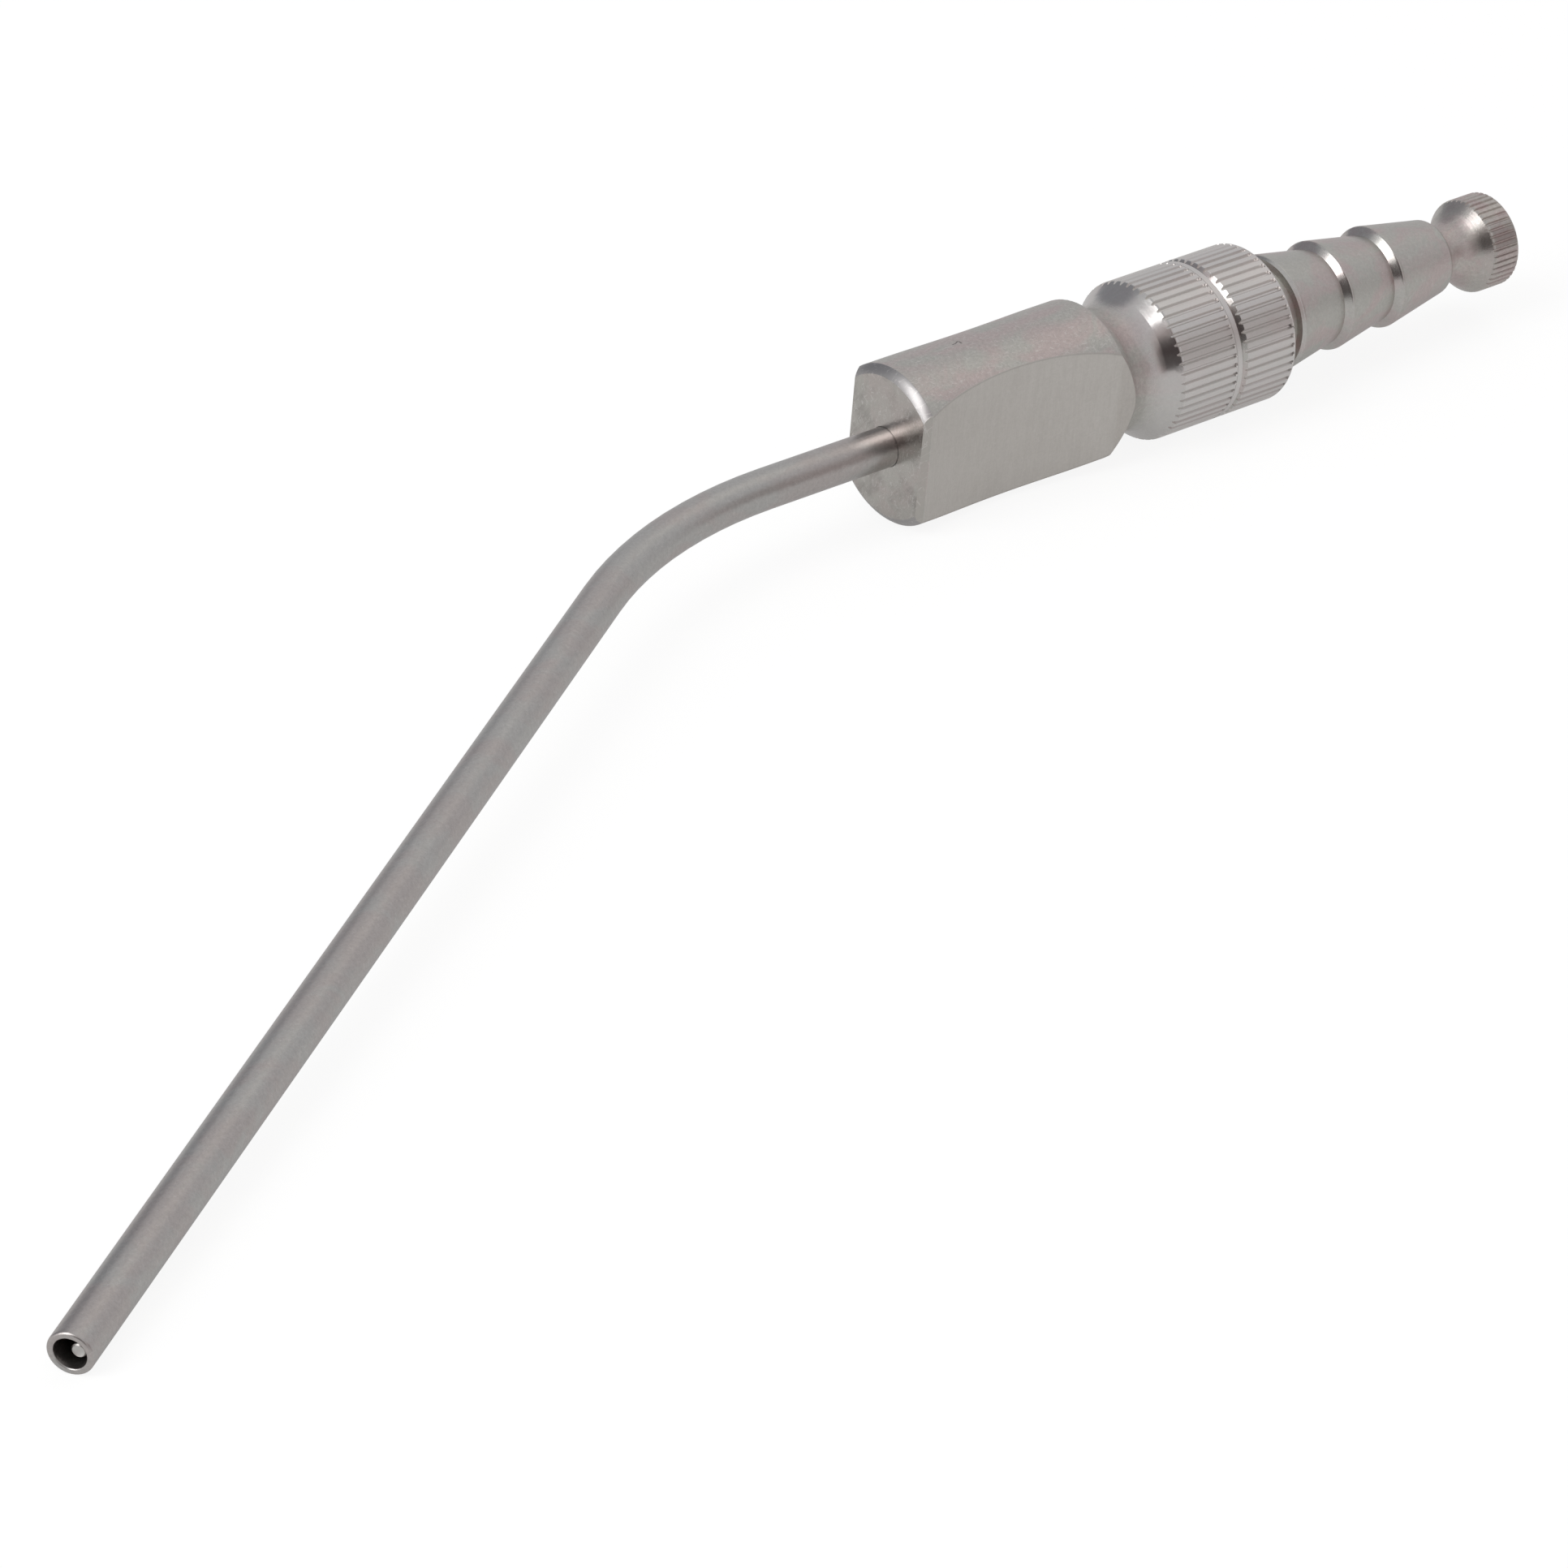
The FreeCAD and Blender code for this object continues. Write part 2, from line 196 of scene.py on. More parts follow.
# %% Build the mottle group
def mottle_group():
    group, tree, taken, given = new_group(
        "Mottled steel",
        [("Point", VECTOR, None), ("Warm", COLOR, (0.6, 0.55, 0.54, 1)),
         ("Cool", COLOR, (0.58, 0.57, 0.55, 1)), ("Cloud size", FLOAT, 0.25),
         ("Speckle", FLOAT, 0.06)],
        [("Color", COLOR), ("Cloud", FLOAT), ("Grain", FLOAT)])
    long_point = tree.stretch(taken["Point"], (0.55, 1.0, 1.0))
    cloud = tree.noise(long_point, taken["Cloud size"], detail=5.0, roughness=0.54,
                       distortion=0.6)
    choice = tree.step(cloud, 0.40, 0.60)
    tint = tree.blend(choice, taken["Warm"], taken["Cool"])
    grain = tree.noise(taken["Point"], 4.0, detail=4.0, roughness=0.8)
    swing = tree.times(tree.math("SUBTRACT", grain, 0.5), taken["Speckle"])
    level = tree.math("ADD", 1.0, tree.times(swing, 2.0))
    tree.feed(given["Color"], tree.scaled(tint, level))
    tree.feed(given["Cloud"], choice)
    tree.feed(given["Grain"], grain)
    return group


MOTTLE = mottle_group()
print("group:", MOTTLE.name)

# %% [markdown]
# ## Group: tool marks
# A cutting or grinding tool leaves parallel lines. They could be waves, but real lines
# differ in depth and spacing, so this is a noise squeezed hard across the lines and
# stretched along them. The same group serves the lathe's rings and the dishes' straight
# grind, because each material passes it a point that is already squeezed the right way.


# %% Build the tool mark group
def marks_group():
    group, tree, taken, given = new_group(
        "Tool marks", [("Point", VECTOR, None), ("Lines per mm", FLOAT, 8.0)],
        [("Height", FLOAT), ("Streak", FLOAT)])
    fine = tree.noise(taken["Point"], taken["Lines per mm"], detail=3.0, roughness=0.65)
    slow = tree.noise(taken["Point"], tree.times(taken["Lines per mm"], 0.3), detail=1.0)
    both = tree.math("ADD", tree.times(fine, 0.65), tree.times(slow, 0.35))
    tree.feed(given["Height"], fine)
    tree.feed(given["Streak"], tree.step(both, 0.36, 0.66))
    return group


MARKS = marks_group()
print("group:", MARKS.name)

# %% [markdown]
# ## Group: handling scratches
# In use, steel picks up short hair scratches in every direction. Each layer is a Voronoi
# pattern on a point that is turned and squeezed, so that its cell borders become long thin
# lines, and a noise lets only a few of them show. Two layers at different angles are
# enough to look random.


# %% Build the scratch group
def scratch_layer(tree, point, angle, seed):
    turned = tree.node("VectorRotate", {"Vector": point, "Angle": angle},
                       rotation_type="AXIS_ANGLE").outputs[0]
    turned.node.inputs["Axis"].default_value = (0.3, 0.8, 0.5)
    squeezed = tree.stretch(turned, (0.32, 2.6, 2.6))
    moved = tree.vector("ADD", squeezed, (seed, -seed, 2 * seed))
    cells = tree.node("TexVoronoi", {"Vector": moved, "Scale": 1.1, "Randomness": 1.0},
                      feature="DISTANCE_TO_EDGE").outputs["Distance"]
    line = tree.fall(cells, 0.01, 0.06)
    few = tree.step(tree.noise(moved, 1.4, detail=2.0), 0.54, 0.62)
    return tree.times(line, few)


def scratch_group():
    group, tree, taken, given = new_group(
        "Handling scratches", [("Point", VECTOR, None)], [("Mask", FLOAT)])
    one = scratch_layer(tree, taken["Point"], 0.6, 3.0)
    two = scratch_layer(tree, taken["Point"], 2.1, 11.0)
    tree.feed(given["Mask"], tree.math("MAXIMUM", one, two))
    return group


SCRATCHES = scratch_group()
print("group:", SCRATCHES.name)

# %% [markdown]
# ## A start for every steel
# All the materials begin alike: a metallic Principled shader, the place on the handle and
# the mottle. They end alike too: a bump from the heights that the finish collected. The
# shader itself stays in the material, and only what varies over the surface is linked.


# %% Start and finish a steel material
def begin_steel(name):
    material = bpy.data.materials.new(name)
    material.use_nodes = True
    tree = Tree(material.node_tree)
    shader = material.node_tree.nodes["Principled BSDF"]
    shader.inputs["Metallic"].default_value = 1.0
    place = use_group(tree, PLACE)
    return material, tree, shader, place


def end_steel(tree, shader, color, roughness, height, strength, depth):
    """depth is how far, in millimetres, a height of 1 stands up."""
    tree.feed(shader.inputs["Base Color"], color)
    tree.feed(shader.inputs["Roughness"], roughness)
    bump = tree.node("Bump", {"Height": height, "Strength": strength, "Distance": depth * MM})
    tree.feed(shader.inputs["Normal"], bump.outputs[0])


# %% [markdown]
# ## The handle
# One bar carries six finishes: the lapped front face, the brushed front edge, the satin
# barrel, the two ground dishes, the bright turned bell and the knurled collar. They could
# be six materials on six groups of faces, but the solid's mesh must stay as it is, so one
# material tells them apart by their place: along the axis, by radius, and by distance from
# the dishes' milling axis.

# %% Stations of the handle's finishes, in millimetres
FRONT_EDGE_END = 0.56
FRONT_EDGE_WIDTH = 0.66
NECK_FROM = 18.5
NECK_TO = 20.6
POLISH_FROM = 20.4
POLISH_FULL = 22.5
BELL_END = 23.38
PLAIN_BAND = 28.48
JOINT = handle_length
JOINT_CHAMFER = 0.3
DISH_RADIUS = 31.0
DISH_CENTRE = 9.1
DISH_FLOOR = 2.98
DISH_FROM = 0.6
BEVEL_SIDE = 3.886
BEVEL_SLOPE = 0.412
GROOVE_DEPTH = 0.2
GROOVE_RUN_OUT = 0.1

# Two small marks of use, as (along in mm, turn in degrees) from point to point
WAVY_SCRATCH = [(6.47, 80.4), (6.76, 80.2), (7.08, 78.3), (7.14, 79.7), (7.10, 82.3)]
HOOKED_NICK = [(33.89, 155.1), (34.07, 156.0), (34.15, 157.0), (34.21, 158.1)]

# %% Colours of the steel's finishes, as linear red, green and blue
WARM = (0.61, 0.53, 0.515, 1)
COOL = (0.585, 0.575, 0.54, 1)
FACED = (0.57, 0.545, 0.51, 1)
GROUND = (0.70, 0.67, 0.635, 1)
KNURLED = (0.82, 0.795, 0.78, 1)
BRIGHT = (0.72, 0.70, 0.69, 1)
STREAK = (0.60, 0.575, 0.54, 1)
EDGED = (0.50, 0.485, 0.48, 1)
# The light colour below is laid on real scratches as a painted glint of their facets
SCRATCH_GLINT = (0.86, 0.83, 0.81, 1)
# GROOVE is painted shade in the knurl grooves and at their closing ends, and the dark of the
# front face's patches
GROOVE = (0.30, 0.28, 0.265, 1)
# The dark colour below is laid on a real scratch and nick, and is also painted shade on lines
SOIL_AND_SHADE = (0.16, 0.145, 0.135, 1)

# %% [markdown]
# ### Masks
# A mask is 1 where its finish is and 0 elsewhere, with a soft step of a few hundredths of a
# millimetre between them, so that no border is a hard stair. The dishes are found by their
# distance from the cutter's axis, and a mark of use by its distance from a few strokes on
# the unrolled surface.


# %% Masks of places and marks
def dish_mask(tree, point):
    """1 on the two round milled faces."""
    parts = tree.node("SeparateXYZ", {0: point}).outputs
    along = tree.math("SUBTRACT", parts[0], DISH_CENTRE)
    side = tree.math("ABSOLUTE", parts[1])
    out = tree.math("SUBTRACT", side, DISH_FLOOR + DISH_RADIUS)
    square = tree.math("ADD", tree.times(along, along), tree.times(out, out))
    miss = tree.math("ABSOLUTE", tree.math("SUBTRACT", tree.math("SQRT", square), DISH_RADIUS))
    near = tree.fall(miss, 0.03, 0.06)
    return tree.times(near, tree.step(parts[0], DISH_FROM, DISH_FROM + 0.06))


def stroke_mask(tree, place, start, end, width):
    """1 on a thin straight stroke between two places on the body's surface."""
    arc = tree.times(place["Turn"], body_radius)
    spot = tree.node("CombineXYZ", {0: place["Along"], 1: arc}).outputs[0]
    ends = [Vector((along, math.radians(turn) * body_radius, 0)) for along, turn in (start, end)]
    run = ends[1] - ends[0]
    off = tree.vector("SUBTRACT", spot, ends[0])
    share = tree.node("VectorMath", {0: off, 1: run / run.length_squared},
                      operation="DOT_PRODUCT").outputs["Value"]
    on_stroke = tree.math("ADD", share, 0.0, clamp=True)
    foot = tree.scaled(run, on_stroke)
    miss = tree.node("VectorMath", {0: tree.vector("SUBTRACT", off, foot)},
                     operation="LENGTH").outputs["Value"]
    return tree.fall(miss, width / 3, width)


def mark_mask(tree, place, points, width):
    """A mark of use, drawn as strokes from point to point."""
    mask = stroke_mask(tree, place, points[0], points[1], width)
    for start, end in zip(points[1:], points[2:]):
        mask = tree.math("MAXIMUM", mask, stroke_mask(tree, place, start, end, width))
    return mask


def knurl_masks(tree, place, crest, depth, start, end):
    """Masks of the grooves' walls, which get painted shade, and of the whole knurled band."""
    inside = tree.band(place["Along"], start, end, 0.05)
    wall = tree.band(place["Radius"], crest - depth + 0.05, crest - 0.05, 0.03)
    return tree.times(inside, wall), inside


def groove_end_mask(tree, place, last):
    """1 on the short walls that close a collar's grooves just before the station last."""
    near = tree.band(place["Along"], last - GROOVE_RUN_OUT, last, 0.02)
    below = tree.fall(place["Radius"], body_radius - 0.03, body_radius - 0.01)
    return tree.times(near, below)


def handle_masks(tree, place):
    """All the places on the handle by name."""
    point, along, radius = place["Point"], place["Along"], place["Radius"]
    dish = dish_mask(tree, point)
    front = tree.fall(along, FRONT_EDGE_END, FRONT_EDGE_END + 0.04)
    edge_low = body_radius - FRONT_EDGE_WIDTH
    outside = tree.step(radius, edge_low, edge_low + 0.05)
    sides = tree.math("ABSOLUTE", tree.node("SeparateXYZ", {0: point}).outputs[1])
    bevel = tree.math("SUBTRACT", sides, tree.times(along, BEVEL_SLOPE))
    inboard = tree.fall(bevel, BEVEL_SIDE - 0.03, BEVEL_SIDE - 0.01)
    polish = tree.step(along, POLISH_FROM, POLISH_FULL)
    near_crest = tree.step(radius, body_radius - 0.12, body_radius - 0.02)
    groove, knurl = knurl_masks(tree, place, body_radius, GROOVE_DEPTH, BELL_END,
                                JOINT - JOINT_CHAMFER)
    return {
        "dish": dish,
        "dish rim": tree.times(dish, near_crest),
        "front face": tree.fall(along, 0.01, 0.03),
        "front edge": tree.times(tree.times(front, outside), inboard),
        "bevel": tree.times(front, tree.math("SUBTRACT", 1.0, inboard)),
        "neck": tree.band(along, NECK_FROM, NECK_TO, 0.4),
        "behind the barrel": tree.step(along, NECK_FROM, NECK_TO),
        "bell": tree.times(polish, tree.fall(along, BELL_END, BELL_END + 0.04)),
        "groove": groove,
        "groove ends": groove_end_mask(tree, place, PLAIN_BAND),
        "knurl": knurl,
        "band line": tree.band(along, PLAIN_BAND - 0.02, PLAIN_BAND + 0.02, 0.03),
        "joint": tree.step(along, JOINT - JOINT_CHAMFER - 0.02, JOINT - JOINT_CHAMFER + 0.02),
        "scratch": mark_mask(tree, place, WAVY_SCRATCH, 0.07),
    }


# %% [markdown]
# ### The handle's material
# The finishes are laid on like coats of paint: each takes the colour below it and covers a
# share of it where its mask is 1. A few coats are painted shade, in the grooves and along a
# few lines. Roughness is laid on in the same way.

# %% Coats on the handle
# The groove coat is painted shade on the knurl grooves' walls
HANDLE_COATS = [("dish", 1.0, GROUND), ("front face", 0.6, FACED), ("knurl", 0.8, KNURLED),
                ("bevel", 0.8, FACED), ("front edge", 1.0, EDGED), ("bell", 0.7, BRIGHT),
                ("groove", 0.08, GROOVE)]
BARREL_ROUGHNESS = 0.34
HANDLE_ROUGHNESS = [("dish", 0.40), ("neck", 0.55), ("front face", 0.20), ("knurl", 0.32),
                    ("bell", 0.16), ("joint", 0.25), ("front edge", 0.34)]
CLOUD_ROUGHNESS = 0.05


def steel_texture(tree, point, tints, cloud_size, speckle, ring_stretch, rings_per_mm):
    """Mottle, lathe rings and scratches, as every turned piece has them."""
    mottle = use_group(tree, MOTTLE, {"Point": point, "Warm": tints[0], "Cool": tints[1],
                                      "Cloud size": cloud_size, "Speckle": speckle})
    squeezed = tree.stretch(point, (1.0, ring_stretch, ring_stretch))
    rings = use_group(tree, MARKS, {"Point": squeezed, "Lines per mm": rings_per_mm})
    scratches = use_group(tree, SCRATCHES, {"Point": point})
    return mottle, rings, scratches["Mask"]


def face_patches(tree, point):
    """Dull patches on the front face, broken up by its diagonal lapping lines."""
    turned = tree.node("VectorRotate", {"Vector": point, "Angle": 0.9},
                       rotation_type="X_AXIS").outputs[0]
    lapped = use_group(tree, MARKS, {"Point": tree.stretch(turned, (1.0, 0.15, 1.0)),
                                     "Lines per mm": 4.0})
    patches = tree.step(tree.noise(point, 0.55, detail=4.0), 0.42, 0.66)
    return tree.times(patches, tree.between(lapped["Streak"], 0.15, 0.5))


def handle_steel():
    material, tree, shader, place = begin_steel("satin_handle_steel")
    point = place["Point"]
    mottle, rings, scratches = steel_texture(tree, point, (WARM, COOL), 0.35, 0.34, 0.03, 9.0)
    grind = use_group(tree, MARKS, {"Point": tree.stretch(point, (1.0, 0.2, 0.08)),
                                    "Lines per mm": 8.0})
    at = handle_masks(tree, place)

    color = mottle["Color"]
    for name, share, coat in HANDLE_COATS:
        color = tree.paint(color, at[name], share, coat)
    pits = tree.step(mottle["Grain"], 0.40, 0.62)
    streaks = tree.math("ADD", tree.times(grind["Streak"], 0.32), tree.times(pits, 0.30))
    color = tree.paint(color, at["dish"], streaks, STREAK)
    color = tree.paint(color, at["front face"], face_patches(tree, point), GROOVE)
    # painted shade on the short walls that close the grooves
    color = tree.paint(color, at["groove ends"], 0.2, GROOVE)
    cleaner = tree.math("MAXIMUM", at["dish"], at["behind the barrel"])
    hairs = tree.times(scratches, tree.between(cleaner, 0.45, 0.12))
    # real hair scratches, painted lighter as a painted glint
    color = tree.blend(hairs, color, SCRATCH_GLINT)
    # darker along the dishes' rims, painted shade at the plain band's edge, and the wavy
    # scratch, a real mark
    darkening = tree.math("MAXIMUM", tree.times(at["dish rim"], 0.22),
                     tree.times(at["band line"], 0.35))
    darkening = tree.math("MAXIMUM", darkening, tree.times(at["scratch"], 0.9))
    color = tree.blend(darkening, color, SOIL_AND_SHADE)

    rough = BARREL_ROUGHNESS
    for name, value in HANDLE_ROUGHNESS:
        rough = tree.between(at[name], rough, value)
    rough = tree.math("ADD", rough, tree.times(mottle["Cloud"], CLOUD_ROUGHNESS))

    height = tree.between(at["dish"], rings["Height"], tree.times(grind["Height"], 1.8))
    height = tree.math("ADD", height, tree.times(mottle["Grain"], 0.6))
    height = tree.math("SUBTRACT", height, hairs)
    calm = tree.math("MAXIMUM", at["front edge"], at["bell"])
    height = tree.times(height, tree.between(calm, 1.0, 0.2))
    height = tree.math("SUBTRACT", height, tree.times(at["scratch"], 2.0))
    end_steel(tree, shader, color, rough, height, 0.5, 0.016)
    return material


# %% [markdown]
# ## The hose connector and the knob
# Both are turned from bar like the handle, with the same knurl and the same bright ridges.
# The barbs' short ramps face the front and are bright; their long tapers are satin with
# fine rings. The knob is the most handled piece, so it is rougher and has more speckle.

# %% Stations of the connector and the knob, in millimetres
COLLAR_REAR = 34.3
REAR_PLAIN_BAND = 0.16
BARB_CRESTS = (36.75, 41.85, 47.25)
BARB_RAMPS = (0.3, 0.48, 0.48)
FLARE_FROM = 56.5
FLARE_TO = 57.1
KNOB_KNURL_FROM = 57.0
KNOB_GROOVE_DEPTH = 0.16
KNOB_WARM = (0.60, 0.515, 0.50, 1)
KNOB_COOL = (0.61, 0.575, 0.54, 1)

low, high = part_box("stylet_knob")
knob_end = (high.x - axis_point[0]) / MM
knob_radius = (high.z - low.z) / 2 / MM
print("knob ends at", round(knob_end, 2), "radius", round(knob_radius, 2))


def connector_steel():
    material, tree, shader, place = begin_steel("satin_connector_steel")
    along = place["Along"]
    mottle, rings, scratches = steel_texture(tree, place["Point"], (WARM, COOL), 0.4, 0.22,
                                             0.03, 9.0)
    groove, knurl = knurl_masks(tree, place, body_radius, GROOVE_DEPTH, JOINT + JOINT_CHAMFER,
                                COLLAR_REAR - 0.05)
    polish = tree.fall(along, JOINT + JOINT_CHAMFER + 0.01, JOINT + JOINT_CHAMFER + 0.05)
    for crest, ramp in zip(BARB_CRESTS, BARB_RAMPS):
        polish = tree.math("MAXIMUM", polish, tree.band(along, crest - ramp, crest, 0.04))
    nick = mark_mask(tree, place, HOOKED_NICK, 0.06)

    color = tree.paint(mottle["Color"], knurl, 0.8, KNURLED)
    color = tree.paint(color, polish, 0.25, BRIGHT)
    # painted shade on the knurl grooves' walls
    color = tree.paint(color, groove, 0.08, GROOVE)
    # painted shade on the short walls that close the grooves
    ends = groove_end_mask(tree, place, COLLAR_REAR - REAR_PLAIN_BAND)
    color = tree.paint(color, ends, 0.2, GROOVE)
    # real scratches, painted lighter as a painted glint
    color = tree.paint(color, scratches, 0.2, SCRATCH_GLINT)
    color = tree.paint(color, nick, 0.85, SOIL_AND_SHADE)

    rough = tree.between(knurl, 0.31, 0.32)
    rough = tree.between(polish, rough, 0.19)
    rough = tree.math("ADD", rough, tree.times(mottle["Cloud"], CLOUD_ROUGHNESS))

    height = tree.math("ADD", rings["Height"], tree.times(mottle["Grain"], 0.5))
    height = tree.math("SUBTRACT", height, tree.times(scratches, 0.4))
    height = tree.times(height, tree.between(polish, 1.0, 0.2))
    height = tree.math("SUBTRACT", height, tree.times(nick, 2.0))
    end_steel(tree, shader, color, rough, height, 0.45, 0.01)
    return material


def knob_steel():
    material, tree, shader, place = begin_steel("handled_knob_steel")
    mottle, rings, scratches = steel_texture(tree, place["Point"], (KNOB_WARM, KNOB_COOL),
                                             0.5, 0.34, 0.05, 7.0)
    groove, _ = knurl_masks(tree, place, knob_radius, KNOB_GROOVE_DEPTH, KNOB_KNURL_FROM,
                            knob_end)
    flare = tree.band(place["Along"], FLARE_FROM, FLARE_TO, 0.5)
    # painted shade on the knob's groove walls
    color = tree.paint(mottle["Color"], groove, 0.4, GROOVE)
    color = tree.paint(color, flare, 0.5, COOL)
    # real scratches, painted lighter as a painted glint
    color = tree.paint(color, scratches, 0.2, SCRATCH_GLINT)
    rough = tree.between(flare, 0.38, 0.27)
    height = tree.math("ADD", rings["Height"], mottle["Grain"])
    height = tree.math("SUBTRACT", height, tree.times(scratches, 0.2))
    end_steel(tree, shader, color, rough, height, 0.6, 0.012)
    return material


# %% [markdown]
# ## The tube and the wire
# The tube is drawn, bent and finely blasted, so it has no direction: only a fine grain and
# slow clouds. The wire inside it is drawn wire, plain and a little brighter, and only its
# end shows in the tube's mouth. The bore is dark because hardly any light reaches it.

# %% Tube and wire materials
TUBE_WARM = (0.545, 0.505, 0.49, 1)
TUBE_COOL = (0.545, 0.535, 0.52, 1)
WIRE_WARM = (0.66, 0.63, 0.61, 1)
WIRE_COOL = (0.68, 0.67, 0.65, 1)


def tube_steel():
    material, tree, shader, place = begin_steel("blasted_tube_steel")
    mottle = use_group(tree, MOTTLE, {"Point": place["Point"], "Warm": TUBE_WARM,
                                      "Cool": TUBE_COOL, "Cloud size": 0.35, "Speckle": 0.28})
    scratches = use_group(tree, SCRATCHES, {"Point": place["Point"]})["Mask"]
    # real scratches, painted lighter as a painted glint
    color = tree.paint(mottle["Color"], scratches, 0.15, SCRATCH_GLINT)
    rough = tree.math("ADD", 0.29, tree.times(mottle["Grain"], 0.06))
    height = tree.math("SUBTRACT", mottle["Grain"], tree.times(scratches, 0.5))
    end_steel(tree, shader, color, rough, height, 0.5, 0.012)
    return material


def wire_steel():
    material, tree, shader, place = begin_steel("drawn_wire_steel")
    mottle = use_group(tree, MOTTLE, {"Point": place["Point"], "Warm": WIRE_WARM,
                                      "Cool": WIRE_COOL, "Cloud size": 1.5, "Speckle": 0.2})
    rough = tree.math("ADD", 0.25, tree.times(mottle["Grain"], 0.15))
    end_steel(tree, shader, mottle["Color"], rough, mottle["Grain"], 0.4, 0.01)
    return material


# %% Put the finishes on the frame's nodes
FINISHES = {"handle": handle_steel, "hose_connector": connector_steel,
            "stylet_knob": knob_steel, "suction_tube": tube_steel, "stylet_wire": wire_steel}
for name, make in FINISHES.items():
    node = nodes[name]
    node.data.materials.clear()
    node.data.materials.append(make())
    print(name, "->", node.data.materials[0].name)

# %% [markdown]
# ## Floor and studio
# The photograph is a cut-out on white, lit by a broad soft box on the left of the handle.
# Bare metal shows its surroundings more than its own colour, so the studio is built for
# its reflections: a plain room of middle grey, one large soft lamp, a darker wall behind
# the part, a pale wall high on the right with a darker one below it, and a dark spot where
# the camera stands. The camera's own rays see white.

# %% Build the floor
FLOOR_SIZE = 6.0
FLOOR_COLOR = (0.80, 0.80, 0.79, 1)
SHADOW_SHARE = 0.25
FLOOR_GLOW = 1.16
FLOOR_MIRRORED = 0.62
MIRRORED_PAPER_SHARE = 0.4


def make_floor():
    bpy.ops.mesh.primitive_plane_add(size=FLOOR_SIZE, location=(0, 0, 0))
    floor = bpy.context.object
    floor.name = "floor"
    material = bpy.data.materials.new("pale_floor")
    material.use_nodes = True
    tree = Tree(material.node_tree)
    material.node_tree.nodes.clear()
    paper = tree.node("BsdfDiffuse", {"Color": FLOOR_COLOR}).outputs[0]
    glow = tree.node("Emission", {"Color": (1, 1, 1, 1), "Strength": FLOOR_GLOW}).outputs[0]
    seen = tree.node("MixShader", {0: SHADOW_SHARE, 1: glow, 2: paper}).outputs[0]
    lift = tree.node("Emission", {"Color": (1, 1, 1, 1), "Strength": FLOOR_MIRRORED}).outputs[0]
    mirrored = tree.node("MixShader", {0: MIRRORED_PAPER_SHARE, 1: lift, 2: paper}).outputs[0]
    rays = tree.node("LightPath").outputs
    unseen = tree.node("MixShader", {0: rays["Is Glossy Ray"], 1: paper, 2: mirrored}).outputs[0]
    result = tree.node("MixShader", {0: rays["Is Camera Ray"], 1: unseen, 2: seen}).outputs[0]
    tree.node("OutputMaterial", {"Surface": result})
    floor.data.materials.append(material)
    return floor


make_floor()
print("floor glow", FLOOR_GLOW)

# %% [markdown]
# The room is the world shader. Each patch of the room is a direction and a spread: the
# group below compares the ray's direction with the patch's and fades at its rim.


# %% Build the room
def heading(azimuth, elevation):
    """Unit vector; azimuth 0 is +Y and 90 is +X, elevation is above the floor."""
    a, e = math.radians(azimuth), math.radians(elevation)
    return (math.sin(a) * math.cos(e), math.cos(a) * math.cos(e), math.sin(e))


def patch_mask(tree, direction, azimuth, elevation, spread, soft):
    dot = tree.node("VectorMath", {0: direction, 1: heading(azimuth, elevation)},
                    operation="DOT_PRODUCT").outputs["Value"]
    edge = math.cos(math.radians(spread))
    inner = math.cos(math.radians(max(spread - soft, 0)))
    return tree.step(dot, edge, inner)


ROOM_COLOR = (0.56, 0.56, 0.57, 1)
# Each patch has its azimuth, elevation, spread and softness in degrees, and its shade
WALL_PATCHES = {"dark wall behind the part": (-14, 24, 40, 15, (0.26, 0.265, 0.285, 1)),
                "pale wall high on the right": (82, 56, 24, 16, (0.72, 0.705, 0.69, 1)),
                "darker wall below it": (147, 14, 30, 18, (0.37, 0.335, 0.33, 1)),
                "dusk round the camera": (-130, 14, 46, 22, (0.46, 0.40, 0.39, 1)),
                "dark spot at the camera": (-130, 12, 34, 13, (0.06, 0.05, 0.05, 1))}


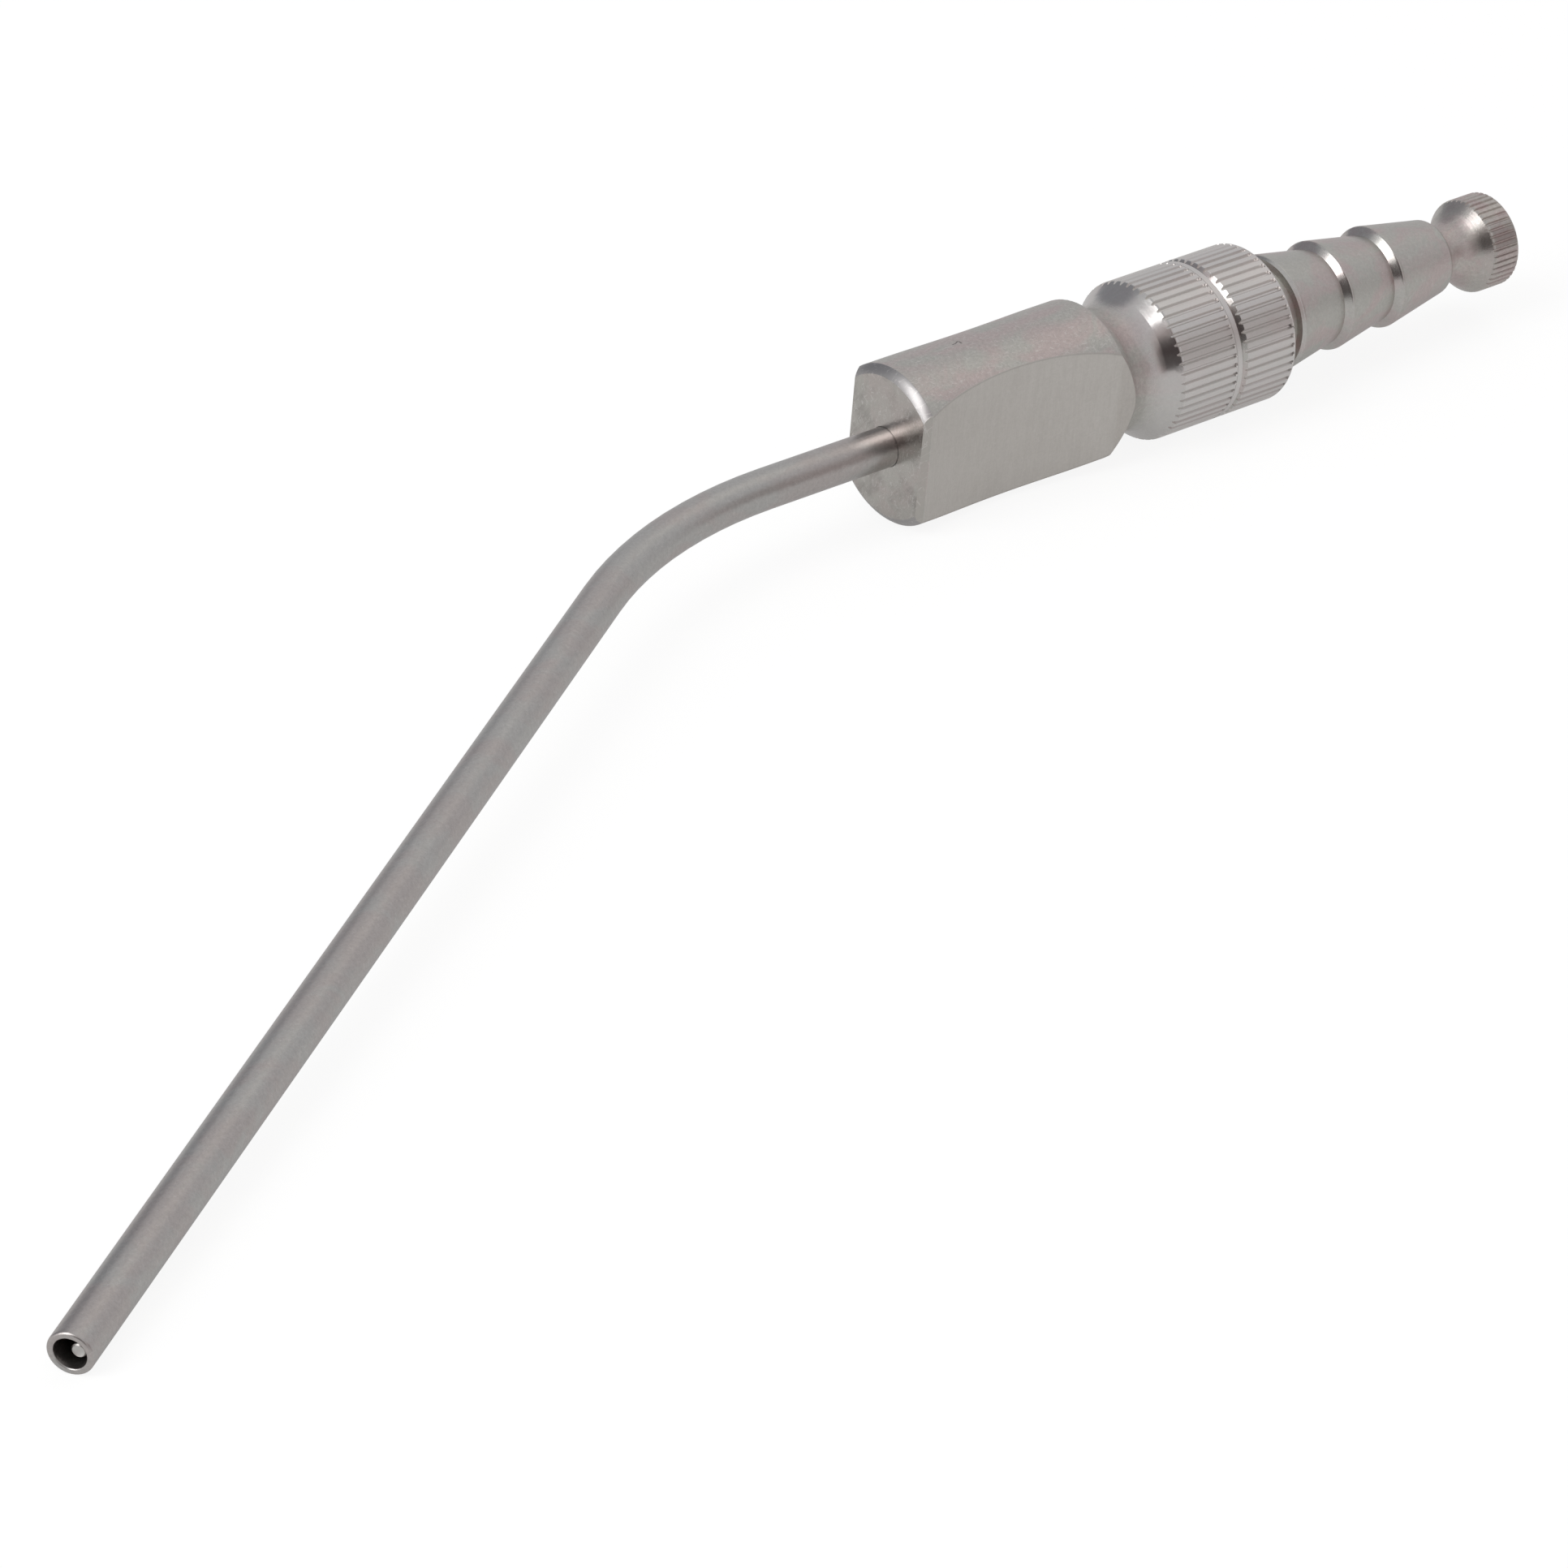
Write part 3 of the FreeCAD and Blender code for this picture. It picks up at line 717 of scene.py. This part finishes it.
def make_room():
    world = bpy.data.worlds.new("studio_room")
    bpy.context.scene.world = world
    world.use_nodes = True
    tree = Tree(world.node_tree)
    world.node_tree.nodes.clear()
    direction = tree.node("TexCoord").outputs["Generated"]
    color = tree.node("RGB").outputs[0]
    color.default_value = ROOM_COLOR
    for azimuth, elevation, spread, soft, shade in WALL_PATCHES.values():
        mask = patch_mask(tree, direction, azimuth, elevation, spread, soft)
        color = tree.blend(mask, color, shade)
    camera_ray = tree.node("LightPath").outputs["Is Camera Ray"]
    color = tree.blend(camera_ray, color, (1, 1, 1, 1))
    shader = tree.node("Background", {"Color": color, "Strength": 1.0}).outputs[0]
    tree.node("OutputWorld", {"Surface": shader})
    return world


make_room()
print("room patches:", ", ".join(WALL_PATCHES))

# %% [markdown]
# The soft box is an area lamp, because its straight edge shows in the polished ridges.
# A lamp's power for a wanted brightness is brightness x pi x area.


# %% Build the lamps
def soft_box(name, azimuth, elevation, distance, width, height, brightness, color):
    data = bpy.data.lights.new(name, "AREA")
    data.shape = "RECTANGLE"
    data.size = width
    data.size_y = height
    data.energy = brightness * math.pi * width * height
    data.color = color
    lamp = bpy.data.objects.new(name, data)
    away = heading(azimuth, elevation)
    lamp.location = [c * distance for c in away]
    lamp.rotation_mode = "QUATERNION"
    lamp.rotation_quaternion = Vector(away).to_track_quat("Z", "Y")
    bpy.context.scene.collection.objects.link(lamp)
    return lamp


soft_box("soft_box_left", azimuth=-87, elevation=36, distance=1.2, width=0.66, height=1.20,
         brightness=2.4, color=(1.0, 1.0, 1.0))

# %% [markdown]
# ## Camera
# The photograph was taken with a long lens from about forty centimetres, thirty degrees
# above the table. A long lens keeps the knob nearly as large as the tip. The place and
# aim below are real sizes in the frame, and the picture is square.

# %% Build the camera
CAMERA_AT = (-0.2320, -0.2773, 0.2077)
CAMERA_HEADING = 39.18
CAMERA_DOWN = 30.22
CAMERA_ROLL = 1.27
LENS_MM = 142.25
SENSOR_MM = 36.0


def make_camera():
    data = bpy.data.cameras.new("camera")
    data.lens = LENS_MM
    data.sensor_width = SENSOR_MM
    data.clip_start = 0.01
    data.clip_end = 20.0
    camera = bpy.data.objects.new("camera", data)
    bpy.context.scene.collection.objects.link(camera)
    aim = Euler((math.radians(90 - CAMERA_DOWN), 0, -math.radians(CAMERA_HEADING)))
    camera.rotation_mode = "QUATERNION"
    turn = aim.to_matrix() @ Matrix.Rotation(math.radians(CAMERA_ROLL), 3, "Z")
    camera.rotation_quaternion = turn.to_quaternion()
    camera.location = CAMERA_AT
    bpy.context.scene.camera = camera
    return camera


camera = make_camera()
bpy.context.scene.view_settings.view_transform = "Standard"
print("camera at", camera.location[:])
